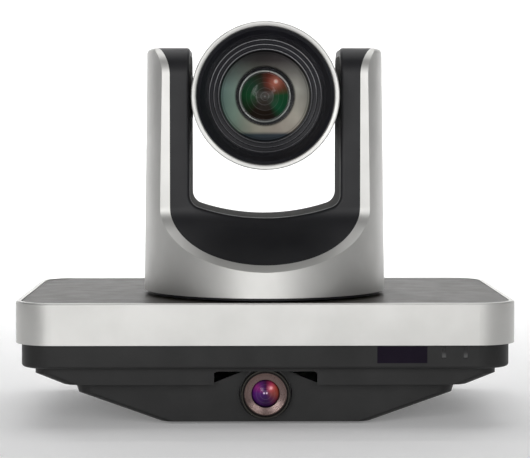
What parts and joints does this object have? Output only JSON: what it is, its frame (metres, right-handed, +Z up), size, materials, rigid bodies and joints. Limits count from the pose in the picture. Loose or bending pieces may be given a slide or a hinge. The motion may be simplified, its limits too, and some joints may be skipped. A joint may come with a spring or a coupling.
{
  "type": "ptz camera",
  "caption": "Pan and tilt camera head in a U-shaped yoke on a wide flat base with a fixed panoramic lens and rear sockets.",
  "frame": {"origin": "on the standing surface, under the middle of the base", "axes": "+X along the wide side, -Y the way the lenses look, +Z up"},
  "size_m": [0.28, 0.18, 0.2256],
  "materials": {
    "silver_paint": "fine metallic satin paint",
    "platform_paint": "matt textured dark paint",
    "chin_plastic": "fine spark texture",
    "insert_plastic": "satin moulded",
    "liner_paint": "satin paint",
    "lens_black": "anodised black",
    "coated_glass": "polished, coated",
    "bezel_metal": "turned",
    "ir_plastic": "polished dark",
    "light_pipe": "clear moulded",
    "board_green": "solder mask",
    "steel": "zinc plated",
    "brass": "turned",
    "rubber": "moulded",
    "cast_alloy": "cast",
    "motor_steel": "plated",
    "socket_metal": "nickel plated",
    "socket_black": "moulded"
  },
  "bodies": {
    "base": {"trim_band": "silver_paint", "top_plate": "platform_paint", "base_tub": "chin_plastic", "chin_skirt": "chin_plastic", "chin_cover": "chin_plastic", "mounting_plate": "steel", "tripod_insert": "brass", "rubber_feet": "rubber", "rear_panel": "steel", "dc_jack": "socket_black", "hdmi_socket": "socket_metal", "sdi_socket": "socket_metal", "usb_socket": "socket_metal", "lan_socket": "socket_metal", "rs232_socket": "socket_black", "audio_sockets": "socket_black", "rocker_frame": "socket_black", "ir_window": "ir_plastic", "ir_receiver": "board_green", "status_light_pipes": "light_pipe", "main_board": "board_green", "panorama_bezel": "bezel_metal", "panorama_glass": "coated_glass", "panorama_barrel": "lens_black", "panorama_holder": "lens_black", "panorama_board": "board_green", "pan_bridge": "cast_alloy", "pan_bearing_outer": "steel", "pan_motor": "motor_steel", "pan_belt": "rubber", "base_screws": "steel"},
    "yoke": {"turntable": "insert_plastic", "pan_bearing_inner": "steel", "yoke_frame": "cast_alloy", "yoke_screws": "steel", "yoke_front_shell": "silver_paint", "yoke_rear_shell": "silver_paint", "yoke_insert_front": "insert_plastic", "yoke_insert_rear": "insert_plastic", "channel_liner": "liner_paint", "tilt_bearings": "steel", "trunnion_collars": "insert_plastic", "tilt_motor": "motor_steel", "tilt_belt": "rubber", "driver_board": "board_green"},
    "head": {"head_front_shell": "silver_paint", "head_rear_shell": "silver_paint", "lens_hood": "lens_black", "front_glass": "coated_glass", "lens_barrel": "lens_black", "lens_cradle": "cast_alloy", "tilt_shafts": "steel", "tilt_pulley": "cast_alloy", "sensor_board": "board_green"},
    "pan_pinion": {"pan_motor_pulley": "cast_alloy"},
    "tilt_pinion": {"tilt_motor_pulley": "cast_alloy"},
    "zoom_carriage": {"zoom_cell": "lens_black", "zoom_lens": "coated_glass"},
    "focus_carriage": {"focus_group": "lens_black"},
    "rocker": {"power_rocker": "socket_black"}
  },
  "joints": [
    {"name": "pan", "type": "hinge", "parent": "base", "child": "yoke", "pos_m": [0, -0.015, 0.0697], "axis": [0, 0, 1], "range_deg": [-170, 170]},
    {"name": "tilt", "type": "hinge", "parent": "yoke", "child": "head", "pos_m": [0, -0.015, 0.1842], "axis": [-1, 0, 0], "range_deg": [-30, 90]},
    {"name": "pan_pinion_spin", "type": "hinge", "parent": "base", "child": "pan_pinion", "pos_m": [0.062, -0.015, 0.043], "axis": [0, 0, 1], "range_deg": [-680, 680]},
    {"name": "tilt_pinion_spin", "type": "hinge", "parent": "yoke", "child": "tilt_pinion", "pos_m": [0.061, -0.015, 0.0937], "axis": [-1, 0, 0], "range_deg": [-84, 252]},
    {"name": "zoom", "type": "slide", "parent": "head", "child": "zoom_carriage", "axis": [0, 1, 0], "range_m": [0, 0.01]},
    {"name": "focus", "type": "slide", "parent": "head", "child": "focus_carriage", "axis": [0, 1, 0], "range_m": [0, 0.006]},
    {"name": "power_switch", "type": "hinge", "parent": "base", "child": "rocker", "pos_m": [-0.096, 0.0858, 0.0399], "axis": [0, 0, 1], "range_deg": [-8, 8]}
  ],
  "couplings": [
    {"joint": "pan_pinion_spin", "follows": "pan", "ratio": 4},
    {"joint": "tilt_pinion_spin", "follows": "tilt", "ratio": 2.8}
  ]
}
